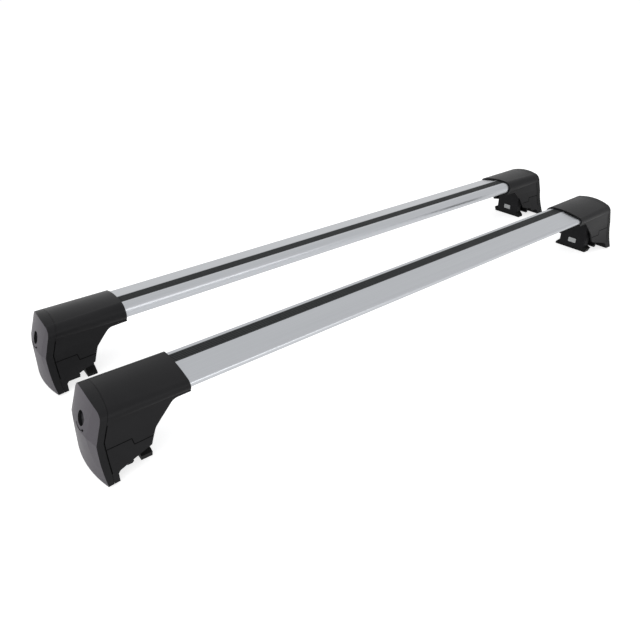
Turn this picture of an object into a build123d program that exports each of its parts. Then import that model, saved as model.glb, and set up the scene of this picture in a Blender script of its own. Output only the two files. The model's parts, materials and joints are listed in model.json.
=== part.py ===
from build123d import *
import os
from math import cos, radians, sin, sqrt, tan

# A pair of roof cross bars: X runs along the bars, Y across the roof, Z up, in millimetres.
# The rear bar has its blunt nose towards +Y and the front bar, turned about, towards -Y.
# A foot is modelled once, at the end of a bar: X outwards from where the bar comes out of
# the foot, +Y towards the nose and Z up from the surface that the foot stands on.

# Where the bars stand
rear_exposed = 878.0        # bare bar between the two feet of the rear bar
front_exposed = 944.0       # the same on the longer front bar
bar_stagger = 6.0           # how far the front bar's left foot is set in from the rear one's
bar_spacing = 201.0         # from strip to strip
strip_height = 98.0         # top of the rubber strip above the roof rail

# Wing section of the bar, from the middle of the strip
nose_ahead = 12.8
nose_radius = 12.5
tail_behind = 47.5
tail_drop = 11.5
tail_radius = 5.4
bar_wall = 2.0
bar_reach = 84.0            # how far the bar runs on inside a foot
web_thickness = 2.0

# Slot along the top of the bar and the strip that fills it
seat_width = 20.6
seat_depth = 2.0
seat_land = 1.2
mouth_width = 11.0
lip_thickness = 2.4
channel_width = 21.0
channel_depth = 7.0
strip_side_gap = 0.3
barb_width = 13.0
barb_height = 1.8
groove_width = 1.2
groove_depth = 0.7
groove_pitch = 3.8
groove_count = 4

# Section of a foot's housing at the sleeve's mouth, close around the bar
cover_growth = 3.0          # outside of the sleeve from the bar's own surface
cover_wall = 2.8
sleeve_gap = 0.2
crest_rise = 0.3
tail_arc = (225.0, 160.0, 99.0)     # degrees around the bar's tail
nose_arc = (90.0, 20.0, -45.0)      # and around its nose
mouth_tail_toe = 58.0
mouth_nose_toe = 38.0
mouth_tail_flank = 53.5
mouth_nose_flank = 28.0

# The same at the far end, domed on top and flared at the toes: out from the strip and up
form_length = 136.0
toe_height = 4.0
flank_height = 36.0
hip_height = 62.0
tail_toe = 69.0
tail_flank = 58.8
tail_hip = 55.6
tail_side = (55.0, 85.0)
tail_brow = (51.7, 93.2)
tail_top = (44.5, 98.4)
crest = (8.0, 104.4)
nose_top = (18.5, 100.8)
nose_brow = (27.5, 96.2)
nose_side = (31.8, 86.0)
nose_hip = 32.2
nose_flank = 36.2
nose_toe = 50.5

# Edges of the moulded shells
waist_height = 58.0         # where the end cover bends
cover_length = 115.5        # at the waist, from the sleeve's mouth to the seam of the end cover
sleeve_drop_tail = 20.0     # lower edge of the sleeve below the strip
sleeve_drop_nose = 27.0
arch_start_tail = 24.0
arch_start_nose = 29.0
arch_radius = 14.0
knee_setback = 52.5
knee_height = 48.0
leg_setback = 62.0
leg_edge_height = 27.5
seam_low = 39.0
seam_high = 48.0
seam_step = 82.0
seam_step_run = 1.5
seam_gap = 0.4
seam_kick = 2.0             # degrees that the seam stands out below the waist

# Lower edge of the skirt
toe_length = 7.0
toe_root = 13.0
toe_root_run = 1.0
toe_slope = 4.0
skirt_rise = 15.5           # lower edge of the skirt beside its toe
skirt_notch = 89.0
skirt_notch_step = 5.0
bulkhead_thickness = 3.0
bulkhead_setback = 2.0
bulkhead_top = 46.0
access_width = 14.0
catch_width = 12.0
catch_top = 55.0

# End cover and its lock
cap_lean = 20.5             # degrees that the upper half leans in
cap_kick = 3.5              # degrees that the lower half stands out
cap_depth = 8.0             # from the seam to the edge of the face
cap_face = 130.7            # middle of the face at the waist
crown_radius = 205.0        # the face is crowned across
crown_behind = 8.0
crease_half = 24.5          # from the middle to the side creases at the waist
crease_half_top = 29.0
crease_half_low = 39.5
crease_low = 27.0
crease_drop = 0.8           # how far the side facets cut in at the border
cap_wall = 2.6
lock_height = 73.0
lock_behind = 12.0          # lock and clamp stand this far behind the strip
lock_radius = 9.7
lock_gap = 0.3
lock_recess = 4.0
boss_wall = 1.8
boss_sink = 1.2
boss_depth = 14.0
barrel_length = 19.2
key_slot_width = 1.6
key_slot_length = 8.0
key_slot_depth = 3.0
tongue_reach = 15.0
tongue_width = 7.0
tongue_thickness = 3.0

# Carrier, block and clamp inside a foot
saddle_start = 48.0
saddle_end = 92.0
saddle_thickness = 9.0
saddle_width = 52.0
block_setback = 61.0
block_length = 15.0
block_width = 59.0
block_corner = 1.5
leg_thickness = 5.0
leg_width = 44.0
leg_bottom = 28.0
shelf_thickness = 6.0
shelf_height = 48.0
shelf_length = 19.0
pad_thickness = 6.0
pad_lip = 7.5
pad_lip_height = 9.0
pad_collar = 12.0           # top of the sole's rim around the block
jaw_travel_in = 8.0
jaw_travel_out = 4.0
jaw_margin = 1.5
jaw_plate = 4.0
jaw_slot = 6.8
jaw_width = 76.0
jaw_bottom = 6.5
jaw_hook = 4.5
jaw_hook_thickness = 4.0
jaw_pad_thickness = 2.0
jaw_pad_height = 11.0
jaw_pad_width = 44.0
bolt_height = 36.0
bolt_radius = 3.0
bolt_head_radius = 5.5
bolt_head_length = 6.0
bolt_seat_gap = 0.2
bolt_hole_gap = 0.8
bolt_socket = 5.0
bolt_socket_depth = 3.5
nut_width = 10.0
nut_gap = 0.1
screw_radius = 2.5
screw_head = 8.0
screw_head_height = 3.0
screw_length = 18.0
screw_setback = 54.5
screw_spacing = 30.0
screw_gap = 0.1
screw_hole_gap = 0.3

# Levels and places that follow from them
reach = 200.0               # longer than any cut has to be
clear = 0.3                 # between faces of pieces that move past each other
bar_bottom = strip_height - 2 * nose_radius
saddle_bottom = bar_bottom - saddle_thickness
lip_bottom = strip_height - seat_depth - lip_thickness
channel_floor = lip_bottom - channel_depth
block_end = block_setback + block_length
leg_end = block_end + leg_thickness
jaw_inner = leg_end + jaw_travel_in + jaw_margin
jaw_outer = jaw_inner + jaw_plate
seam_toe = cover_length + (waist_height - toe_height) * tan(radians(seam_kick))
clamp_y = -lock_behind


def wing(growth):
    """Outline of the bar's section, grown by a wall or drawn in by one."""
    with BuildSketch(mode=Mode.PRIVATE) as outline:
        with Locations((nose_ahead, strip_height - nose_radius)):
            Circle(nose_radius + growth)
        with Locations((-tail_behind, strip_height - tail_drop)):
            Circle(tail_radius + growth)
        with BuildLine():
            Line((-seat_width / 2 - seat_land, strip_height + growth), (nose_ahead, strip_height + growth))
        make_hull()
    return outline.sketch


def around(centre, radius, angle):
    """Point on a circle at an angle, in degrees from +Y towards +Z."""
    return (centre[0] + radius * cos(radians(angle)), centre[1] + radius * sin(radians(angle)))


def mouth_section(inset):
    """Points around the housing at the sleeve's mouth, drawn in by a wall."""
    growth = cover_growth - inset
    tail = (-tail_behind, strip_height - tail_drop)
    nose = (nose_ahead, strip_height - nose_radius)
    tail_round = [around(tail, tail_radius + growth, angle) for angle in tail_arc]
    nose_round = [around(nose, nose_radius + growth, angle) for angle in nose_arc]
    return [
        (-mouth_tail_toe + inset, toe_height + inset), (-mouth_tail_flank + inset, flank_height),
        (tail_round[0][0], hip_height), *tail_round,
        (-seat_width / 2 - seat_land, strip_height + growth + crest_rise), *nose_round,
        (nose_round[2][0], hip_height), (mouth_nose_flank - inset, flank_height),
        (mouth_nose_toe - inset, toe_height + inset)]


def end_section(inset):
    """Points around the housing's far end, in the same order."""
    slant = inset * sqrt(0.5)
    return [
        (-tail_toe + inset, toe_height + inset), (-tail_flank + inset, flank_height),
        (-tail_hip + inset, hip_height), (-tail_side[0] + inset, tail_side[1]),
        (-tail_brow[0] + slant, tail_brow[1] - slant), (-tail_top[0], tail_top[1] - inset),
        (-crest[0], crest[1] - inset), (nose_top[0], nose_top[1] - inset),
        (nose_brow[0] - slant, nose_brow[1] - slant), (nose_side[0] - inset, nose_side[1]),
        (nose_hip - inset, hip_height), (nose_flank - inset, flank_height),
        (nose_toe - inset, toe_height + inset)]


def section_face(points):
    """Face inside the arcs and lines that run through a section's points."""
    with BuildSketch(mode=Mode.PRIVATE) as face:
        with BuildLine():
            ThreePointArc(*points[0:3])
            Line(points[2], points[3])
            ThreePointArc(*points[3:6])
            ThreePointArc(*points[5:8])
            ThreePointArc(*points[7:10])
            Line(points[9], points[10])
            ThreePointArc(*points[10:13])
            Line(points[12], points[0])
        make_face()
    return face.sketch


def housing(inset):
    """Solid form of a foot from the sleeve's mouth to beyond its end, drawn in by a wall."""
    mouth = section_face(mouth_section(inset))
    end = section_face(end_section(inset))
    with BuildPart() as form:
        with BuildSketch(Plane.YZ):
            add(mouth)
        with BuildSketch(Plane.YZ.offset(form_length)):
            add(end)
        loft(ruled=True)
    return form.part


def seam_line(offset):
    """Three points down the seam of the end cover, seen from the side, moved out by offset."""
    above = strip_height - waist_height + cover_growth + cap_depth
    top = (cover_length + offset - above * tan(radians(cap_lean)), waist_height + above)
    bottom = (cover_length + offset + waist_height * tan(radians(seam_kick)), 0)
    return [top, (cover_length + offset, waist_height), bottom]


def side_face(points):
    """Face inside a closed run of straight edges, drawn in the side view."""
    with BuildSketch(mode=Mode.PRIVATE) as face:
        with BuildLine():
            Polyline(points, close=True)
        make_face()
    return face.sketch


def beside_seam(offset, far):
    """Side-view region between the seam of the end cover and a line far along the bar."""
    top, middle, bottom = seam_line(offset)
    return side_face([(far, top[1]), top, middle, bottom, (far, bottom[1])])


def under_cover(sleeve_drop, arch_start):
    """Side-view region below the arch of the upper cover and below its stepped seam."""
    edge = strip_height - sleeve_drop
    below_seam = side_face([
        (knee_setback, -reach), (knee_setback, seam_low), (seam_step, seam_low),
        (seam_step + seam_step_run, seam_high), (reach, seam_high), (reach, -reach)])
    with BuildSketch(mode=Mode.PRIVATE) as region:
        with BuildLine():
            FilletPolyline((-reach, edge), (arch_start, edge), (knee_setback, knee_height),
                           (leg_setback, leg_edge_height), radius=arch_radius)
            Polyline((leg_setback, leg_edge_height), (leg_setback, -reach), (-reach, -reach), (-reach, edge))
        make_face()
        add(below_seam)
    return region.sketch


def leg_edge_at(height):
    """Setback of the leg's inner edge at a height."""
    pitch = (leg_setback - knee_setback) / (knee_height - leg_edge_height)
    return knee_setback + (knee_height - height) * pitch


def skirt_side(notch_step):
    """Side view of the skirt: stepped seam above, rising lower edge and a toe below."""
    upper = seam_high - seam_gap
    lower = seam_low - seam_gap
    toe_start = seam_toe - toe_length
    edge_end = toe_start - toe_slope
    edge_pitch = (leg_edge_height - skirt_rise) / (edge_end - leg_setback)
    points = [
        (leg_setback, leg_edge_height), (leg_edge_at(lower), lower), (seam_step + seam_gap, lower),
        (seam_step + seam_step_run + seam_gap, upper),
        (cover_length + (waist_height - upper) * tan(radians(seam_kick)), upper), (seam_toe, toe_height),
        (toe_start, toe_height), (toe_start - toe_root_run, toe_root), (edge_end, skirt_rise)]
    if notch_step:
        notch_height = skirt_rise + edge_pitch * (edge_end - skirt_notch)
        points += [(skirt_notch, notch_height - notch_step), (skirt_notch, notch_height)]
    return side_face(points)


def facet(first, second, third):
    """Plane through three points that looks outwards along the bar."""
    start = Vector(*first)
    normal = (Vector(*second) - start).cross(Vector(*third) - start)
    if normal.X < 0:
        normal = -normal
    return Plane(origin=start, z_dir=normal)


def face_at(height):
    """Setback of the middle of the end cover's face at a height."""
    if height > waist_height:
        return cap_face - (height - waist_height) * tan(radians(cap_lean))
    return cap_face + (waist_height - height) * tan(radians(cap_kick))


def on_crown(side, half, height):
    """Point of the crowned face at a distance to one side of its middle."""
    radius = crown_radius - cap_face + face_at(height)
    fall = radius - sqrt(radius ** 2 - half ** 2)
    return (face_at(height) - fall, side * half - crown_behind, height)


def crease_planes():
    """Facets along the sides of the end cover's face, upper and lower."""
    planes = []
    for side, hip in ((-1, tail_hip - crown_behind), (1, nose_hip + crown_behind)):
        border = on_crown(side, hip, waist_height)
        border = (border[0] - crease_drop, border[1], border[2])
        crease = on_crown(side, crease_half, waist_height)
        planes.append(facet(border, crease, on_crown(side, crease_half_top, strip_height)))
        planes.append(facet(border, crease, on_crown(side, crease_half_low, crease_low)))
    return planes


def crown(inset):
    """Barrel that the end cover's face belongs to."""
    axis_setback = cap_face - crown_radius
    heights = (2 * strip_height, waist_height, -waist_height)
    edge = [(face_at(height) - inset, height) for height in heights]
    profile = side_face([(axis_setback, heights[-1]), (axis_setback, heights[0]), *edge])
    with BuildPart() as barrel:
        with BuildSketch(Plane.XZ.offset(crown_behind)):
            add(profile)
        revolve(axis=Axis((axis_setback, -crown_behind, 0), (0, 0, 1)))
    return barrel.part


def cap_form(inset):
    """Solid form of the end cover, drawn in by a wall on every face."""
    body = housing(inset)
    barrel = crown(inset)
    with BuildPart() as form:
        add(body)
        add(barrel, mode=Mode.INTERSECT)
        for plane in crease_planes():
            split(bisect_by=plane.offset(-inset), keep=Keep.BOTTOM)
    return form.part


def lock_plane():
    """Plane of the lock's mouth on the leaning upper face, with its x towards the nose."""
    return Plane(origin=(face_at(lock_height), clamp_y, lock_height), x_dir=(0, 1, 0),
                 z_dir=(cos(radians(cap_lean)), 0, sin(radians(cap_lean))))


def bar_section():
    """Hollow section of the bar with the slot along its top."""
    outer = wing(0)
    with BuildSketch(mode=Mode.PRIVATE) as cells:
        add(wing(-bar_wall))
        with Locations((0, channel_floor - bar_wall)):
            Rectangle(channel_width + 2 * bar_wall, reach, align=(Align.CENTER, Align.MIN),
                      mode=Mode.SUBTRACT)
        with Locations((0, strip_height)):
            Rectangle(web_thickness, 2 * reach, mode=Mode.SUBTRACT)
    with BuildSketch(mode=Mode.PRIVATE) as section:
        add(outer)
        add(cells.sketch, mode=Mode.SUBTRACT)
        with Locations((0, strip_height - seat_depth)):
            Rectangle(seat_width, reach, align=(Align.CENTER, Align.MIN), mode=Mode.SUBTRACT)
        with Locations((0, lip_bottom)):
            Rectangle(mouth_width, reach, align=(Align.CENTER, Align.MIN), mode=Mode.SUBTRACT)
        with Locations((0, channel_floor)):
            Rectangle(channel_width, channel_depth, align=(Align.CENTER, Align.MIN), mode=Mode.SUBTRACT)
    return section.sketch


def screw_places(setback):
    """Places of the two carrier screws at one end of a bar."""
    rows = (clamp_y - screw_spacing / 2, clamp_y + screw_spacing / 2)
    return [(setback, row) for row in rows]


def wing_bar(exposed):
    """Extruded bar, centred on its length, with the screw holes in its lower wall."""
    section = bar_section()
    length = exposed + 2 * bar_reach
    setback = exposed / 2 + screw_setback
    with BuildPart() as bar:
        with BuildSketch(Plane.YZ.offset(-length / 2)):
            add(section)
        extrude(amount=length)
        with BuildSketch(Plane.XY.offset(saddle_bottom)):
            with Locations(*screw_places(-setback), *screw_places(setback)):
                Circle(screw_radius + screw_gap)
        extrude(amount=screw_length, mode=Mode.SUBTRACT)
    return bar.part


def slot_strip(exposed):
    """Rubber strip with a grooved top, a stem through the slot's mouth and barbs below its lips."""
    length = exposed + 2 * bar_reach
    stem_bottom = lip_bottom - strip_side_gap - barb_height
    with BuildPart() as strip:
        with BuildSketch(Plane.YZ.offset(-length / 2)):
            with Locations((0, strip_height)):
                Rectangle(seat_width - 2 * strip_side_gap, seat_depth, align=(Align.CENTER, Align.MAX))
            with Locations((0, stem_bottom)):
                Rectangle(mouth_width - 2 * strip_side_gap, strip_height - seat_depth / 2 - stem_bottom,
                          align=(Align.CENTER, Align.MIN))
                Rectangle(barb_width, barb_height, align=(Align.CENTER, Align.MIN))
            with Locations((0, strip_height)):
                with GridLocations(groove_pitch, 1, groove_count, 1):
                    Rectangle(groove_width, 2 * groove_depth, mode=Mode.SUBTRACT)
        extrude(amount=length)
    return strip.part


def foot_cover():
    """Upper shell: a sleeve over the end of the bar that runs down into two arched legs."""
    outer = housing(0)
    inner = housing(cover_wall)
    bar_space = wing(sleeve_gap)
    tail_cut = under_cover(sleeve_drop_tail, arch_start_tail)
    nose_cut = under_cover(sleeve_drop_nose, arch_start_nose)
    end_cut = beside_seam(0, reach)
    with BuildPart() as cover:
        add(outer)
        add(inner, mode=Mode.SUBTRACT)
        with BuildSketch(Plane.YZ):
            add(bar_space)
        extrude(amount=bar_reach + clear, mode=Mode.SUBTRACT)
        with BuildSketch(Plane.XZ):
            add(tail_cut)
        extrude(amount=reach, mode=Mode.SUBTRACT)
        with BuildSketch(Plane.XZ):
            add(nose_cut)
        extrude(amount=-reach, mode=Mode.SUBTRACT)
        with BuildSketch(Plane.XZ):
            add(end_cut)
        extrude(amount=reach, both=True, mode=Mode.SUBTRACT)
    return cover.part


def bulkhead():
    """Wall across the skirt behind the end cover, with the lock's catch and an opening for the bolt."""
    body = housing(0)
    with BuildPart() as wall:
        with BuildSketch(Plane.YZ.offset(cover_length - bulkhead_setback)):
            with Locations((0, bulkhead_top)):
                Rectangle(reach, reach, align=(Align.CENTER, Align.MAX))
            with Locations((clamp_y, catch_top)):
                Rectangle(catch_width, catch_top - toe_height, align=(Align.CENTER, Align.MAX))
            with Locations((clamp_y, bolt_height)):
                Rectangle(access_width, access_width, mode=Mode.SUBTRACT)
        extrude(amount=-bulkhead_thickness)
        add(body, mode=Mode.INTERSECT)
    return wall.part


def skirt():
    """Lower shell: two flared side walls joined by a bulkhead behind the end cover."""
    outer = housing(0)
    inner = housing(cover_wall)
    wall = bulkhead()
    tail_wall = skirt_side(0)
    nose_wall = skirt_side(skirt_notch_step)
    with BuildPart() as walls:
        with BuildSketch(Plane.XZ):
            add(tail_wall)
        extrude(amount=reach)
        with BuildSketch(Plane.XZ):
            add(nose_wall)
        extrude(amount=-reach)
        add(outer, mode=Mode.INTERSECT)
        add(inner, mode=Mode.SUBTRACT)
        add(wall)
    return walls.part


def end_cover():
    """Shield-shaped hollow cover with a crowned face, side facets and a boss for the lock."""
    outer = cap_form(0)
    inner = cap_form(cap_wall)
    inside = beside_seam(seam_gap, -reach)
    mouth = lock_plane()
    with BuildPart() as cap:
        add(outer)
        add(inner, mode=Mode.SUBTRACT)
        with BuildSketch(Plane.XZ):
            add(inside)
        extrude(amount=reach, both=True, mode=Mode.SUBTRACT)
        with BuildSketch(mouth.offset(-boss_sink)):
            RegularPolygon(lock_radius + boss_wall, 8, major_radius=False)
        extrude(amount=boss_sink - boss_depth)
        with BuildSketch(mouth):
            Circle(lock_radius)
        extrude(amount=-boss_depth - clear, mode=Mode.SUBTRACT)
    return cap.part


def lock_barrel():
    """Lock with a key slot in its face and a locking tongue on its back."""
    mouth = lock_plane()
    with BuildPart() as barrel:
        with BuildSketch(mouth.offset(-lock_recess)):
            Circle(lock_radius - lock_gap)
        extrude(amount=-barrel_length)
        with BuildSketch(mouth.offset(-lock_recess)):
            Rectangle(key_slot_width, key_slot_length)
        extrude(amount=-key_slot_depth, mode=Mode.SUBTRACT)
        with BuildSketch(mouth.offset(-lock_recess - barrel_length)):
            SlotCenterToCenter(2 * (tongue_reach - tongue_width / 2), tongue_width)
            Rectangle(tongue_reach, tongue_width, align=(Align.MIN, Align.CENTER), mode=Mode.SUBTRACT)
            Circle(tongue_width / 2)
        extrude(amount=-tongue_thickness)
    return barrel.part


def carrier():
    """Cast bracket: a saddle under the bar, a leg that holds the nut and a shelf over the jaw."""
    bar_outline = wing(0)
    with BuildPart() as bracket:
        with BuildSketch(Plane.YZ.offset(saddle_start)):
            with Locations((clamp_y, saddle_bottom)):
                Rectangle(saddle_width, saddle_thickness + nose_radius, align=(Align.CENTER, Align.MIN))
            add(bar_outline, mode=Mode.SUBTRACT)
        extrude(amount=saddle_end - saddle_start)
        with BuildSketch(Plane.YZ.offset(block_end)):
            with Locations((clamp_y, leg_bottom)):
                Rectangle(leg_width, saddle_bottom - leg_bottom, align=(Align.CENTER, Align.MIN))
        extrude(amount=leg_thickness)
        with BuildSketch(Plane.YZ.offset(leg_end)):
            with Locations((clamp_y, shelf_height)):
                Rectangle(leg_width, shelf_thickness, align=(Align.CENTER, Align.MIN))
        extrude(amount=shelf_length)
        with BuildSketch(Plane.YZ.offset(block_end)):
            with Locations((clamp_y, bolt_height)):
                Rectangle(nut_width + 2 * nut_gap, nut_width + 2 * nut_gap)
        extrude(amount=leg_thickness, mode=Mode.SUBTRACT)
        with BuildSketch(Plane.XY.offset(saddle_bottom)):
            with Locations(*screw_places(screw_setback)):
                Circle(screw_radius + screw_hole_gap)
        extrude(amount=screw_length, mode=Mode.SUBTRACT)
    return bracket.part


def carrier_screws():
    """Two screws up through the saddle into the bar."""
    places = screw_places(screw_setback)
    with BuildPart() as screws:
        with BuildSketch(Plane.XY.offset(saddle_bottom)):
            with Locations(*places):
                RegularPolygon(screw_head / 2, 6, major_radius=False)
        extrude(amount=-screw_head_height)
        with BuildSketch(Plane.XY.offset(saddle_bottom)):
            with Locations(*places):
                Circle(screw_radius)
        extrude(amount=screw_length)
    return screws.part


def foot_block():
    """Block that stands between the saddle and the rail, with a pocket for the bolt's tip."""
    pocket = 2 * (bolt_radius + bolt_hole_gap)
    with BuildPart() as block:
        with BuildSketch(Plane.YZ.offset(block_setback)):
            with Locations((clamp_y, pad_thickness)):
                Rectangle(block_width, saddle_bottom - pad_thickness, align=(Align.CENTER, Align.MIN))
        extrude(amount=block_length)
        chamfer(block.edges().filter_by(Axis.Z), block_corner)
        with BuildSketch(Plane.YZ.offset(block_end)):
            with Locations((clamp_y, bolt_height)):
                Rectangle(pocket, pocket)
        extrude(amount=-jaw_travel_in - jaw_travel_out - bolt_hole_gap, mode=Mode.SUBTRACT)
    return block.part


def rail_pad():
    """Rubber sole under the block, with a lip that turns up at each end."""
    tail = clamp_y - block_width / 2
    nose = clamp_y + block_width / 2
    with BuildPart() as pad:
        with BuildSketch(Plane.YZ.offset(block_setback)):
            with BuildLine():
                Polyline((tail - pad_lip, pad_lip_height), (tail - pad_lip / 2, 0), (nose + pad_lip, 0),
                         (nose + pad_lip, pad_lip_height / 2), (nose, pad_collar), (nose, pad_thickness),
                         (tail, pad_thickness), (tail, pad_collar), close=True)
            make_face()
        extrude(amount=block_length)
    return pad.part


def clamp_jaw():
    """Jaw plate with a hook that reaches under the rail's edge."""
    with BuildPart() as jaw:
        with BuildSketch(Plane.XZ.offset(-clamp_y)):
            with BuildLine():
                Polyline((jaw_outer, jaw_bottom), (jaw_outer, shelf_height - clear),
                         (jaw_inner, shelf_height - clear), (jaw_inner, jaw_bottom + jaw_hook_thickness),
                         (jaw_inner - jaw_hook, jaw_bottom + jaw_hook_thickness),
                         (jaw_inner - jaw_hook, jaw_bottom + jaw_hook_thickness / 2),
                         (jaw_inner - jaw_hook / 2, jaw_bottom), close=True)
            make_face()
        extrude(amount=jaw_width / 2, both=True)
        with BuildSketch(Plane.YZ.offset(jaw_inner)):
            with Locations((clamp_y, bolt_height)):
                Rectangle(jaw_slot, jaw_slot)
        extrude(amount=jaw_plate, mode=Mode.SUBTRACT)
    return jaw.part


def jaw_pad():
    """Rubber face on the inside of the jaw."""
    with BuildPart() as pad:
        with BuildSketch(Plane.YZ.offset(jaw_inner)):
            with Locations((clamp_y, jaw_bottom + jaw_hook_thickness)):
                Rectangle(jaw_pad_width, jaw_pad_height, align=(Align.CENTER, Align.MIN))
        extrude(amount=-jaw_pad_thickness)
    return pad.part


def tension_bolt():
    """Socket bolt that draws the jaw towards the block."""
    seat = jaw_outer + bolt_seat_gap
    tip = block_end - jaw_travel_out
    with BuildPart() as bolt:
        with BuildSketch(Plane.YZ.offset(tip)):
            with Locations((clamp_y, bolt_height)):
                Circle(bolt_radius)
        extrude(amount=seat - tip)
        with BuildSketch(Plane.YZ.offset(seat)):
            with Locations((clamp_y, bolt_height)):
                Circle(bolt_head_radius)
        extrude(amount=bolt_head_length)
        with BuildSketch(Plane.YZ.offset(seat + bolt_head_length)):
            with Locations((clamp_y, bolt_height)):
                RegularPolygon(bolt_socket / 2, 6, major_radius=False)
        extrude(amount=-bolt_socket_depth, mode=Mode.SUBTRACT)
    return bolt.part


def clamp_nut():
    """Square nut held in the carrier's leg."""
    with BuildPart() as nut:
        with BuildSketch(Plane.YZ.offset(block_end)):
            with Locations((clamp_y, bolt_height)):
                Rectangle(nut_width, nut_width)
                Circle(bolt_radius + clear, mode=Mode.SUBTRACT)
        extrude(amount=leg_thickness)
    return nut.part


def place(piece, x, y, flip_x, flip_y):
    """Copy of a foot's piece, mirrored as its end of the bar needs and moved there."""
    if flip_x:
        piece = mirror(piece, about=Plane.YZ, mode=Mode.PRIVATE)
    if flip_y:
        piece = mirror(piece, about=Plane.XZ, mode=Mode.PRIVATE)
    return piece.moved(Location((x, y, 0)))


def write(piece, name):
    """Label a piece and write it under that name."""
    piece.label = name
    export_step(piece, f"parts/{name}.step")


os.makedirs("parts", exist_ok=True)
row_start = -(bar_stagger + front_exposed) / 2
bars = {
    "rear": (row_start, rear_exposed, -bar_spacing / 2, False),
    "front": (row_start + bar_stagger, front_exposed, bar_spacing / 2, True),
}
foot_pieces = {
    "foot_cover": foot_cover(),
    "skirt": skirt(),
    "end_cover": end_cover(),
    "lock_barrel": lock_barrel(),
    "carrier": carrier(),
    "carrier_screws": carrier_screws(),
    "foot_block": foot_block(),
    "rail_pad": rail_pad(),
    "clamp_jaw": clamp_jaw(),
    "jaw_pad": jaw_pad(),
    "tension_bolt": tension_bolt(),
    "clamp_nut": clamp_nut(),
}
for bar, (start, exposed, across, turned) in bars.items():
    middle = start + exposed / 2
    write(place(wing_bar(exposed), middle, across, False, turned), f"{bar}_bar")
    write(place(slot_strip(exposed), middle, across, False, turned), f"{bar}_strip")
    for side, end in (("left", start), ("right", start + exposed)):
        for name, piece in foot_pieces.items():
            write(place(piece, end, across, side == "left", turned), f"{bar}_{side}_{name}")
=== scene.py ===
import bpy
import json
from math import cos, pi, radians, sin
from mathutils import Matrix, Quaternion, Vector

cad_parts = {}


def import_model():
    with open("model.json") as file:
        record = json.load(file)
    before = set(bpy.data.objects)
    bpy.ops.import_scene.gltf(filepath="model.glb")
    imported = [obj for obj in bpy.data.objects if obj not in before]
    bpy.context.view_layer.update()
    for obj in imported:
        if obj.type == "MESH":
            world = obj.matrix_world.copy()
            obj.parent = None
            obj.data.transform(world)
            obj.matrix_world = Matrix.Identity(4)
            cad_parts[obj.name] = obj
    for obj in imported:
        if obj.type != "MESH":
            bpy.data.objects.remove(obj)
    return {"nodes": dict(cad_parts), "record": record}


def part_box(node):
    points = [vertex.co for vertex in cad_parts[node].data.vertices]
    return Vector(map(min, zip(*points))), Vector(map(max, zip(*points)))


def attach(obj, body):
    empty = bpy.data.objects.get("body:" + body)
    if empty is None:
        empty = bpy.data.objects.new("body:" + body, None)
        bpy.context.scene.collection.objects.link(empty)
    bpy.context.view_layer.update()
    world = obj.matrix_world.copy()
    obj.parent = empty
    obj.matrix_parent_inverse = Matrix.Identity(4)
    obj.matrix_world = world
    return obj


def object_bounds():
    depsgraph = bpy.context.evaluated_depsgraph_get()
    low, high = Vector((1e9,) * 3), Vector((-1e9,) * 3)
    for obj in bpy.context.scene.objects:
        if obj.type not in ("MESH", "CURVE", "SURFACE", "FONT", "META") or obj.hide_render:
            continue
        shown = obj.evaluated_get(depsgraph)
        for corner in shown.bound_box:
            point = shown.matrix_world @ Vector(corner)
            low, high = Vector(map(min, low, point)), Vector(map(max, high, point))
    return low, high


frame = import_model()
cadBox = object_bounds()
cadNodes = frame["nodes"]
feet = ["rear_left", "rear_right", "front_left", "front_right"]
print("frame loaded:", len(cadNodes), "nodes")


# node helpers

def addNode(tree, kind, place, **values):
    node = tree.nodes.new(kind)
    node.location = place
    for name, value in values.items():
        if hasattr(node, name):
            setattr(node, name, value)
        else:
            node.inputs[name].default_value = value
    return node


def wire(tree, source, output, target, entry):
    tree.links.new(source.outputs[output], target.inputs[entry])


def newGroup(name, inputs, outputs):
    group = bpy.data.node_groups.new(name, "ShaderNodeTree")
    for label, start in inputs.items():
        socket = group.interface.new_socket(label, in_out="INPUT", socket_type="NodeSocketFloat")
        socket.default_value = start
    for label in outputs:
        group.interface.new_socket(label, in_out="OUTPUT", socket_type="NodeSocketFloat")
    entry = addNode(group, "NodeGroupInput", (-900, 0))
    leave = addNode(group, "NodeGroupOutput", (700, 0))
    return group, entry, leave


def newMaterial(name, constants):
    material = bpy.data.materials.new(name)
    material.use_nodes = True
    tree = material.node_tree
    shader = tree.nodes["Principled BSDF"]
    for label, value in constants.items():
        shader.inputs[label].default_value = value
    return material, tree, shader


# effects that several materials share

mouldTexture = {"grain": {"Detail": 3.0, "Roughness": 0.6}, "cloud": {"Detail": 4.0, "Roughness": 0.55},
                "cellShare": 0.6, "scales": {"Grain scale": 900.0, "Cloud scale": 14.0}}
drawTexture = {"lines": {"Detail": 4.0, "Roughness": 0.7}, "cloud": {"Detail": 3.0, "Roughness": 0.5},
               "stretch": (0.004, 1.0, 1.0), "scales": {"Line scale": 900.0, "Run scale": 2.0}}
maskSpan = {"low": 0.3, "high": 0.7}  # the part of a noise that is spread over two values


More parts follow.
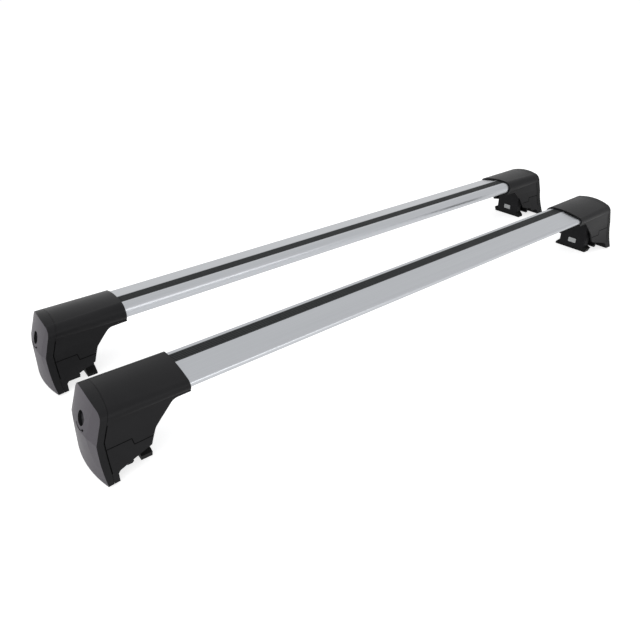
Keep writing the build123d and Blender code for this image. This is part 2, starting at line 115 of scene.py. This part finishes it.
def buildMouldGrain(look):  # leathery spark-eroded grain with a slow cloud of gloss
    group, entry, leave = newGroup("mouldGrain", look["scales"], ["Height", "Cloud"])
    place = addNode(group, "ShaderNodeTexCoord", (-900, 300))
    grain = addNode(group, "ShaderNodeTexNoise", (-500, 250), **look["grain"])
    cells = addNode(group, "ShaderNodeTexVoronoi", (-500, 0))
    cloud = addNode(group, "ShaderNodeTexNoise", (-500, -300), **look["cloud"])
    blend = addNode(group, "ShaderNodeMath", (-100, 150), operation="MULTIPLY_ADD")
    blend.inputs[1].default_value = look["cellShare"]
    for texture, scale in ((grain, "Grain scale"), (cells, "Grain scale"), (cloud, "Cloud scale")):
        wire(group, place, "Object", texture, "Vector")
        wire(group, entry, scale, texture, "Scale")
    wire(group, cells, "Distance", blend, 0)
    wire(group, grain, "Fac", blend, 2)
    wire(group, blend, "Value", leave, "Height")
    wire(group, cloud, "Fac", leave, "Cloud")
    return group


def buildDrawLines(look):  # faint die lines along an extrusion
    group, entry, leave = newGroup("drawLines", look["scales"], ["Line", "Cloud"])
    place = addNode(group, "ShaderNodeTexCoord", (-900, 300))
    stretch = addNode(group, "ShaderNodeMapping", (-700, 200), Scale=look["stretch"])
    lines = addNode(group, "ShaderNodeTexNoise", (-400, 200), **look["lines"])
    cloud = addNode(group, "ShaderNodeTexNoise", (-400, -200), **look["cloud"])
    wire(group, place, "Object", stretch, "Vector")
    wire(group, stretch, "Vector", lines, "Vector")
    wire(group, place, "Object", cloud, "Vector")
    wire(group, entry, "Line scale", lines, "Scale")
    wire(group, entry, "Run scale", cloud, "Scale")
    wire(group, lines, "Fac", leave, "Line")
    wire(group, cloud, "Fac", leave, "Cloud")
    return group


mouldGrain = buildMouldGrain(mouldTexture)
drawLines = buildDrawLines(drawTexture)


def rangeOf(tree, source, output, limits, place):  # spreads a mask over two values
    spread = addNode(tree, "ShaderNodeMapRange", place)
    spread.inputs["From Min"].default_value = maskSpan["low"]
    spread.inputs["From Max"].default_value = maskSpan["high"]
    spread.inputs["To Min"].default_value = limits[0]
    spread.inputs["To Max"].default_value = limits[1]
    wire(tree, source, output, spread, "Value")
    return spread


def tintBetween(tree, source, output, first, second, place):  # colour that follows a mask
    ramp = addNode(tree, "ShaderNodeValToRGB", place)
    start, end = ramp.color_ramp.elements
    start.position = maskSpan["low"]
    start.color = (*first, 1)
    end.position = maskSpan["high"]
    end.color = (*second, 1)
    wire(tree, source, output, ramp, "Fac")
    return ramp


def addRelief(tree, source, output, shader, strength, depth):  # fine relief that catches the light
    bump = addNode(tree, "ShaderNodeBump", (-300, -400), Strength=strength, Distance=depth)
    wire(tree, source, output, bump, "Height")
    wire(tree, bump, "Normal", shader, "Normal")


def addPaintedSideLight(tree, grain, tint, shader, look):  # painted light: paler tone where the surface faces along the bar, standing in for the light falling on the end faces
    place = addNode(tree, "ShaderNodeTexCoord", (-900, 600))
    parts = addNode(tree, "ShaderNodeSeparateXYZ", (-700, 600))
    along = addNode(tree, "ShaderNodeMath", (-500, 600), operation="ABSOLUTE")
    mask = addNode(tree, "ShaderNodeMapRange", (-300, 600))
    mask.inputs["From Min"].default_value = look["paintedLightFrom"]
    mask.inputs["From Max"].default_value = look["paintedLightTo"]
    faded = tuple(look["paintedLightFade"] * part for part in look["paintedLight"])
    tone = tintBetween(tree, grain, "Cloud", faded, look["paintedLight"], (-500, 400))
    blend = addNode(tree, "ShaderNodeMix", (-100, 400), data_type="RGBA")
    factorIn, firstIn, secondIn, colourOut = 0, 6, 7, 2  # the colour sockets of a Mix node
    wire(tree, place, "Normal", parts, "Vector")
    wire(tree, parts, "X", along, 0)
    wire(tree, along, "Value", mask, "Value")
    wire(tree, mask, "Result", blend, factorIn)
    wire(tree, tint, "Color", blend, firstIn)
    wire(tree, tone, "Color", blend, secondIn)
    wire(tree, blend, colourOut, shader, "Base Color")


def grainedMaterial(name, look):
    constants = {"Metallic": look.get("metal", 0.0), "Specular IOR Level": look["gloss"]}
    material, tree, shader = newMaterial(name, constants)
    grain = addNode(tree, "ShaderNodeGroup", (-900, 0), node_tree=mouldGrain)
    grain.inputs["Grain scale"].default_value = look["grainScale"]
    grain.inputs["Cloud scale"].default_value = look["cloudScale"]
    tint = tintBetween(tree, grain, "Cloud", look["dark"], look["pale"], (-500, 200))
    rough = rangeOf(tree, grain, "Cloud", look["rough"], (-500, -100))
    wire(tree, tint, "Color", shader, "Base Color")
    wire(tree, rough, "Result", shader, "Roughness")
    addRelief(tree, grain, "Height", shader, look["grainStrength"], look["grainDepth"])
    # painted light on the faces that look along the bar
    if "paintedLight" in look:
        addPaintedSideLight(tree, grain, tint, shader, look)
    return material


def extrudedMaterial(name, look):
    material, tree, shader = newMaterial(name, {"Metallic": 1.0})
    lines = addNode(tree, "ShaderNodeGroup", (-900, 0), node_tree=drawLines)
    lines.inputs["Line scale"].default_value = look["lineScale"]
    lines.inputs["Run scale"].default_value = look["cloudScale"]
    tint = tintBetween(tree, lines, "Line", look["dark"], look["pale"], (-500, 200))
    rough = rangeOf(tree, lines, "Cloud", look["rough"], (-500, -100))
    wire(tree, tint, "Color", shader, "Base Color")
    wire(tree, rough, "Result", shader, "Roughness")
    addRelief(tree, lines, "Line", shader, look["lineStrength"], look["lineDepth"])
    return material


# finishes of the CAD nodes

satinAluminium = {"dark": (0.425, 0.438, 0.460), "pale": (0.470, 0.484, 0.506), "rough": (0.29, 0.35),
                  "lineScale": 700.0, "cloudScale": 3.0, "lineStrength": 0.05, "lineDepth": 0.0002}
slotRubber = {"dark": (0.015, 0.017, 0.018), "pale": (0.021, 0.023, 0.024), "rough": (0.55, 0.68),
              "gloss": 0.2, "grainScale": 1500.0, "cloudScale": 20.0,
              "grainStrength": 0.15, "grainDepth": 0.0002}
coverPlastic = {"dark": (0.013, 0.013, 0.014), "pale": (0.016, 0.016, 0.017), "rough": (0.36, 0.43),
                "gloss": 0.09, "grainScale": 1100.0, "cloudScale": 18.0,
                "grainStrength": 0.2, "grainDepth": 0.0002}
# the end cover carries painted light: a paler tone on the faces that look along the bar
endPlastic = {"dark": (0.013, 0.013, 0.014), "pale": (0.016, 0.016, 0.017), "rough": (0.42, 0.50),
              "gloss": 0.09, "grainScale": 1100.0, "cloudScale": 18.0,
              "grainStrength": 0.2, "grainDepth": 0.0002,
              "paintedLight": (0.102, 0.095, 0.108), "paintedLightFade": 0.85, "paintedLightFrom": 0.80, "paintedLightTo": 0.86}
blockPlastic = {"dark": (0.004, 0.004, 0.005), "pale": (0.007, 0.007, 0.008), "rough": (0.50, 0.60),
                "gloss": 0.15, "grainScale": 900.0, "cloudScale": 25.0,
                "grainStrength": 0.15, "grainDepth": 0.0002}
padRubber = {"dark": (0.005, 0.005, 0.005), "pale": (0.008, 0.008, 0.008), "rough": (0.62, 0.75),
             "gloss": 0.15, "grainScale": 1500.0, "cloudScale": 30.0,
             "grainStrength": 0.15, "grainDepth": 0.0002}
coatedMetal = {"dark": (0.008, 0.008, 0.009), "pale": (0.012, 0.012, 0.013), "rough": (0.40, 0.50),
               "gloss": 0.25, "grainScale": 700.0, "cloudScale": 30.0,
               "grainStrength": 0.25, "grainDepth": 0.0003}
lockMetal = {"dark": (0.022, 0.021, 0.024), "pale": (0.032, 0.031, 0.035), "rough": (0.40, 0.50),
             "gloss": 0.3, "grainScale": 900.0, "cloudScale": 60.0,
             "grainStrength": 0.1, "grainDepth": 0.0001}
zincSteel = {"dark": (0.42, 0.42, 0.40), "pale": (0.56, 0.56, 0.54), "rough": (0.32, 0.46),
             "gloss": 0.5, "metal": 1.0, "grainScale": 600.0, "cloudScale": 80.0,
             "grainStrength": 0.1, "grainDepth": 0.0001}

finishes = {
    "anodised_aluminium": extrudedMaterial("satinAluminium", satinAluminium),
    "slot_rubber": grainedMaterial("slotRubber", slotRubber),
    "cover_plastic": grainedMaterial("coverPlastic", coverPlastic),
    "end_cover_plastic": grainedMaterial("endPlastic", endPlastic),
    "block_plastic": grainedMaterial("blockPlastic", blockPlastic),
    "pad_rubber": grainedMaterial("padRubber", padRubber),
    "carrier_casting": grainedMaterial("carrierCasting", coatedMetal),
    "jaw_steel": grainedMaterial("jawSteel", coatedMetal),
    "lock_metal": grainedMaterial("lockMetal", lockMetal),
    "zinc_steel": grainedMaterial("zincSteel", zincSteel),
}
for subpart in frame["record"]["subparts"]:
    mesh = cadNodes[subpart["node"]].data
    mesh.materials.clear()
    mesh.materials.append(finishes[subpart["material_slot"]])
print("finishes set:", len(finishes))


# modelling helpers

pickModes = {"vertices": "VERT", "edges": "EDGE", "polygons": "FACE"}


def startPiece(name):  # the primitive just added, with its place put into its mesh
    piece = bpy.context.object
    piece.name = name
    bpy.ops.object.transform_apply(location=True, rotation=True, scale=True)
    return piece


def pick(piece, kind, test):  # selects the vertices, edges or faces whose points pass the test
    mesh = piece.data
    bpy.ops.object.mode_set(mode="EDIT")
    bpy.ops.mesh.select_mode(type=pickModes[kind])
    bpy.ops.mesh.select_all(action="DESELECT")
    bpy.ops.object.mode_set(mode="OBJECT")
    for item in getattr(mesh, kind):
        corners = [item.index] if kind == "vertices" else item.vertices
        item.select = test([mesh.vertices[i].co for i in corners])
    bpy.ops.object.mode_set(mode="EDIT")


def makeActive(piece):
    bpy.ops.object.select_all(action="DESELECT")
    piece.select_set(True)
    bpy.context.view_layer.objects.active = piece


def copyPiece(piece, name, matrix):  # the same shape again, with its own mesh moved to its place
    twin = piece.copy()
    twin.data = piece.data.copy()
    twin.name = name
    twin.data.transform(matrix)
    bpy.context.scene.collection.objects.link(twin)
    return twin


def faceTowards(piece, way):  # turns a flat piece's faces over where they look the other way
    if sum(polygon.normal.dot(way) for polygon in piece.data.polygons) < 0:
        piece.data.flip_normals()


def layFilm(piece, carriers, axis, look):  # lays a flat piece along an axis on its carriers, as a thin film
    makeActive(piece)
    drape = piece.modifiers.new("drape", "SHRINKWRAP")
    drape.target = carriers[0]
    if len(carriers) > 1:
        drape.auxiliary_target = carriers[1]
    drape.wrap_method = "PROJECT"
    setattr(drape, "use_project_" + axis, True)
    drape.use_negative_direction = True
    drape.offset = look["lift"]
    film = piece.modifiers.new("film", "SOLIDIFY")
    film.thickness = look["film"]
    film.offset = 1.0
    for name in ("drape", "film"):
        bpy.ops.object.modifier_apply(modifier=name)


# bare pale plates on the inner faces of the right blocks

labelPlate = {"width": 0.0172, "height": 0.0096, "thick": 0.0008, "above": 0.0128,
              "corner": 0.0009, "cornerSteps": 4, "border": 0.0007, "dip": 0.0002,
              "edge": 0.00015, "edgeSteps": 2, "smoothAngle": 30.0}
plateFilm = {"dark": (0.55, 0.56, 0.56), "pale": (0.66, 0.67, 0.67), "rough": (0.35, 0.45),
             "gloss": 0.4, "grainScale": 700.0, "cloudScale": 160.0,
             "grainStrength": 0.1, "grainDepth": 0.0001}


def before(limit):  # passes points that all lie on the low side of a place along the bar
    return lambda points: all(point.x < limit for point in points)


def modelLabelPlate(name, node, look):
    low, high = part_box(node)
    thick = look["thick"]
    front = low[0] - thick
    middle = Vector((low[0] - thick / 2, (low[1] + high[1]) / 2, low[2] + look["above"]))
    bpy.ops.object.select_all(action="DESELECT")
    bpy.ops.mesh.primitive_cube_add(size=1.0, location=middle,
                                    scale=(thick, look["width"], look["height"]))
    plate = startPiece(name)
    pick(plate, "edges", lambda ends: abs(ends[0].x - ends[1].x) > thick / 2)  # edges through the plate
    bpy.ops.mesh.bevel(offset=look["corner"], segments=look["cornerSteps"])
    pick(plate, "polygons", before(front + thick / 4))
    bpy.ops.mesh.inset(thickness=look["border"], depth=-look["dip"])
    pick(plate, "edges", before(front + look["dip"] / 4))
    bpy.ops.mesh.bevel(offset=look["edge"], segments=look["edgeSteps"])
    bpy.ops.object.mode_set(mode="OBJECT")
    bpy.ops.object.shade_smooth_by_angle(angle=radians(look["smoothAngle"]))
    return plate


plateFinish = grainedMaterial("plateFilm", plateFilm)
rearPlate = modelLabelPlate("rear_right_plate", "rear_right_foot_block", labelPlate)
rearCorner = Vector(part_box("rear_right_foot_block")[0])
frontCorner = Vector(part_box("front_right_foot_block")[0])
frontPlate = copyPiece(rearPlate, "front_right_plate", Matrix.Translation(frontCorner - rearCorner))
for plate in (rearPlate, frontPlate):
    plate.data.materials.append(plateFinish)
    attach(plate, "bars")
print("plates modelled")


# turn marks below the locks, a thin line round the lock with a pointed end

turnMark = {"radius": 0.0190, "rise": 0.003, "width": 0.0010, "left": 40.0, "right": 30.0, "step": 4.0,
            "pointWidth": 4.2, "pointLength": 0.0048, "standOff": 0.004, "endSpan": 0.0001,
            "merge": 0.000001, "lift": 0.00005, "film": 0.00012}
markPaint = {"dark": (0.004, 0.004, 0.004), "pale": (0.008, 0.008, 0.008), "rough": (0.80, 0.95),
             "gloss": 0.0, "grainScale": 900.0, "cloudScale": 120.0,
             "grainStrength": 0.1, "grainDepth": 0.0001}


def lockAxis(foot):  # middle of the lock and the way out along it
    joints = frame["record"]["behaviour"]["joints"]
    joint = next(row for row in joints if row["name"] == foot + "_lock_turn")
    middle, axis = Vector(joint["pos_m"]), Vector(joint["axis"])
    return middle, axis if axis.x * middle.x > 0 else -axis


def modelTurnMark(foot, look):
    middle, out = lockAxis(foot)
    right = Vector((0, out.x, 0)).normalized()  # seen from outside
    down = right.cross(out)
    centre = middle - down * look["rise"] + out * look["standOff"]
    inner, outer = look["radius"] - look["width"] / 2, look["radius"] + look["width"] / 2
    rightEnd, leftEnd = sin(radians(look["right"])), -sin(radians(look["left"]))
    bpy.ops.object.select_all(action="DESELECT")
    bpy.ops.mesh.primitive_circle_add(vertices=int(360 / look["step"]), radius=inner, location=centre,
                                      rotation=out.to_track_quat("Z", "Y").to_euler())
    mark = startPiece("turnMark")

    def swing(point):  # how far a point lies to the right of the lock and below it
        way = (point - centre).normalized()
        return way.dot(right), way.dot(down)

    def outside(points):  # past either end of the line
        sideways, below = swing(points[0])
        return below < 0 or sideways > rightEnd or sideways < leftEnd

    pick(mark, "vertices", outside)
    bpy.ops.mesh.delete(type="VERT")
    bpy.ops.mesh.select_all(action="SELECT")
    bpy.ops.mesh.extrude_edges_move()
    grow = outer / inner
    bpy.ops.transform.resize(value=(grow, grow, grow), center_override=centre)
    bpy.ops.object.mode_set(mode="OBJECT")
    points = [vertex.co.copy() for vertex in mark.data.vertices]
    farthest = max(swing(point)[0] for point in points)
    end = [point for point in points if swing(point)[0] > farthest - look["endSpan"]]
    tip = sum(end, Vector()) / len(end)
    pick(mark, "edges", lambda ends: all((point - tip).length < look["width"] for point in ends))
    onward = out.cross(tip - centre).normalized()
    onward = onward if onward.dot(right) > 0 else -onward
    bpy.ops.mesh.extrude_edges_move()
    wide = look["pointWidth"]
    bpy.ops.transform.resize(value=(wide, wide, wide), center_override=tip)
    bpy.ops.mesh.extrude_edges_move(TRANSFORM_OT_translate={"value": onward * look["pointLength"]})
    bpy.ops.mesh.merge(type="CENTER")
    bpy.ops.mesh.select_all(action="SELECT")
    bpy.ops.mesh.remove_doubles(threshold=look["merge"])
    bpy.ops.mesh.normals_make_consistent(inside=False)
    bpy.ops.object.mode_set(mode="OBJECT")
    faceTowards(mark, out)
    return mark


markFinish = grainedMaterial("markPaint", markPaint)
flatMark = modelTurnMark(feet[0], turnMark)
firstLock, firstOut = lockAxis(feet[0])
for foot in feet:
    lock, out = lockAxis(foot)
    turned = Matrix.Rotation(pi if out.x * firstOut.x < 0 else 0, 4, "Z")
    place = Matrix.Translation(lock) @ turned @ Matrix.Translation(-firstLock)
    mark = copyPiece(flatMark, foot + "_turn_mark", place)
    layFilm(mark, [cadNodes[foot + "_end_cover"]], "x", turnMark)
    mark.data.materials.append(markFinish)
    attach(mark, foot + "_end_cover")
bpy.data.objects.remove(flatMark)
print("turn marks modelled")


# painted seam shadow: dark lines laid in the seams of each foot, standing in for the shade in the gap, each
# course as (distance from the sleeve's mouth, height)

seamLine = {"step": [(0.0575, 0.0388), (0.0822, 0.0388), (0.0837, 0.0478), (0.1143, 0.0478)],
            "edge": [(0.10663, 0.0800), (0.1149, 0.0580), (0.11676, 0.0046)],
            "width": 0.0010, "cuts": 23, "standOff": 0.006, "depth": 0.002,
            "lift": 0.00003, "film": 0.00006}
# the colour of the seam lines is painted shadow
seamShade = {"dark": (0.002, 0.002, 0.002), "pale": (0.004, 0.004, 0.004), "rough": (0.85, 0.95),
             "gloss": 0.0, "grainScale": 900.0, "cloudScale": 120.0,
             "grainStrength": 0.1, "grainDepth": 0.0001}


def modelSeamShadowLine(places, side, look):  # a flat ribbon beside the foot, mitred at its corners
    face = places[0].y
    bpy.ops.object.select_all(action="DESELECT")
    bpy.ops.mesh.primitive_plane_add(size=look["width"], location=places[0])
    line = startPiece("seamLine")
    bpy.ops.object.mode_set(mode="EDIT")
    bpy.ops.mesh.select_mode(type="VERT")
    bpy.ops.mesh.select_all(action="SELECT")
    bpy.ops.mesh.merge(type="CENTER")
    for here, there in zip(places, places[1:]):
        bpy.ops.mesh.extrude_vertices_move(TRANSFORM_OT_translate={"value": there - here})
    bpy.ops.mesh.select_all(action="SELECT")
    bpy.ops.mesh.subdivide(number_cuts=look["cuts"])
    bpy.ops.mesh.select_all(action="SELECT")
    bpy.ops.mesh.extrude_edges_move(TRANSFORM_OT_translate={"value": (0, -side * look["depth"], 0)})
    bpy.ops.object.mode_set(mode="OBJECT")
    wall = line.modifiers.new("wall", "SOLIDIFY")
    wall.thickness = look["width"]
    wall.offset = 0.0
    wall.use_even_offset = True
    bpy.ops.object.modifier_apply(modifier="wall")
    pick(line, "polygons", lambda points: all(abs(point.y - face) < look["lift"] for point in points))
    bpy.ops.mesh.select_all(action="INVERT")  # only the wall's outer rim is kept
    bpy.ops.mesh.delete(type="FACE")
    bpy.ops.object.mode_set(mode="OBJECT")
    faceTowards(line, Vector((0, side, 0)))
    return line


def modelFootSeamShadows(foot, look):  # both courses on both sides of a foot, joined
    low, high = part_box(foot + "_foot_cover")
    out = 1 if low[0] > 0 else -1
    mouth = low[0] if out > 0 else high[0]
    lines = []
    for side, face in ((-1, low[1] - look["standOff"]), (1, high[1] + look["standOff"])):
        for course in ("step", "edge"):
            places = [Vector((mouth + out * along, face, height)) for along, height in look[course]]
            lines.append(modelSeamShadowLine(places, side, look))
    seams = lines[0]
    makeActive(seams)
    for line in lines:
        line.select_set(True)
    bpy.ops.object.join()
    seams.name = foot + "_seam_lines"
    return seams


# painted shadow along the seams
seamShadowFinish = grainedMaterial("seamShade", seamShade)
for foot in feet:
    seams = modelFootSeamShadows(foot, seamLine)
    layFilm(seams, [cadNodes[foot + "_foot_cover"], cadNodes[foot + "_skirt"]], "y", seamLine)
    seams.data.materials.append(seamShadowFinish)
    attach(seams, "bars")
print("seam lines modelled")


# camera where the photographer stood

photoView = {"place": (-0.6890, -0.7057, 0.5161), "turn": 52.84, "dip": 30.68, "tilt": 0.88,
             "lens": 32.0, "sensor": 36.0}


def placeCamera(view):
    lens = bpy.data.cameras.new("photoCamera")
    lens.lens = view["lens"]
    lens.sensor_width = view["sensor"]
    camera = bpy.data.objects.new("photoCamera", lens)
    bpy.context.scene.collection.objects.link(camera)
    turn, dip = radians(view["turn"]), radians(view["dip"])
    ahead = Vector((cos(turn) * cos(dip), sin(turn) * cos(dip), -sin(dip)))
    aim = ahead.to_track_quat("-Z", "Y") @ Quaternion((0, 0, 1), -radians(view["tilt"]))
    camera.rotation_euler = aim.to_euler()
    camera.location = view["place"]
    bpy.context.scene.camera = camera


placeCamera(photoView)
print("camera placed")


# floor, lamps and white surroundings

studio = {"floorSize": 60.0, "floorCuts": 3, "floorTone": 0.60, "floorRough": 0.9, "floorGlow": 0.75,
          "ambient": 0.45, "white": (1, 1, 1, 1)}
lamps = {
    "overhead": {"place": (0.2, 0.3, 2.2), "aim": (0.0, 0.0, 0.0), "size": (3.6, 3.0),
                 "power": 26.0, "mirrored": False},
    "leftSoft": {"place": (-2.2, -0.6, 1.2), "aim": (-0.4, 0.0, 0.05), "size": (2.4, 2.0),
                 "power": 16.0, "mirrored": False},
    "frontStrip": {"place": (-0.2, -2.4, 0.55), "aim": (0.1, 0.0, 0.08), "size": (3.6, 0.8),
                   "power": 17.0, "mirrored": True},
}


def surroundRay(tree):  # 1 where the camera, a gloss or a glass ray looks
    path = addNode(tree, "ShaderNodeLightPath", (-900, 0))
    first = addNode(tree, "ShaderNodeMath", (-700, 0), operation="MAXIMUM")
    both = addNode(tree, "ShaderNodeMath", (-500, 0), operation="MAXIMUM")
    wire(tree, path, "Is Camera Ray", first, 0)
    wire(tree, path, "Is Glossy Ray", first, 1)
    wire(tree, first, "Value", both, 0)
    wire(tree, path, "Is Transmission Ray", both, 1)
    return both


def buildSurroundings():
    world = bpy.data.worlds.new("paleStudio")
    bpy.context.scene.world = world
    world.use_nodes = True
    tree = world.node_tree
    sky = tree.nodes["Background"]
    sky.inputs["Color"].default_value = studio["white"]
    seen = surroundRay(tree)
    level = addNode(tree, "ShaderNodeMapRange", (-300, 0))
    level.inputs["To Min"].default_value = studio["ambient"]
    level.inputs["To Max"].default_value = 1.0
    wire(tree, seen, "Value", level, "Value")
    wire(tree, level, "Result", sky, "Strength")


def buildFloor():
    bpy.ops.object.select_all(action="DESELECT")
    bpy.ops.mesh.primitive_plane_add(size=studio["floorSize"], location=(0, 0, cadBox[0][2]))
    floor = bpy.context.object
    floor.name = "paleFloor"
    bpy.ops.object.mode_set(mode="EDIT")
    bpy.ops.mesh.subdivide(number_cuts=studio["floorCuts"])
    bpy.ops.object.mode_set(mode="OBJECT")
    tone = studio["floorTone"]
    constants = {"Base Color": (tone, tone, tone, 1), "Roughness": studio["floorRough"],
                 "Specular IOR Level": 0.0, "Emission Color": studio["white"]}
    material, tree, shader = newMaterial("paleFloor", constants)
    seen = surroundRay(tree)
    glow = addNode(tree, "ShaderNodeMath", (-250, -300), operation="MULTIPLY")
    glow.inputs[1].default_value = studio["floorGlow"]
    wire(tree, seen, "Value", glow, 0)
    wire(tree, glow, "Value", shader, "Emission Strength")
    floor.data.materials.append(material)


def hangLamps():
    for name, values in lamps.items():
        light = bpy.data.lights.new(name, "AREA")
        light.shape = "RECTANGLE"
        light.size, light.size_y = values["size"]
        light.energy = values["power"]
        lamp = bpy.data.objects.new(name, light)
        bpy.context.scene.collection.objects.link(lamp)
        lamp.location = values["place"]
        lamp.visible_glossy = values["mirrored"]
        towards = Vector(values["aim"]) - Vector(values["place"])
        lamp.rotation_euler = towards.to_track_quat("-Z", "Y").to_euler()


buildSurroundings()
buildFloor()
hangLamps()
bpy.context.scene.view_settings.view_transform = "Standard"
print("studio ready")
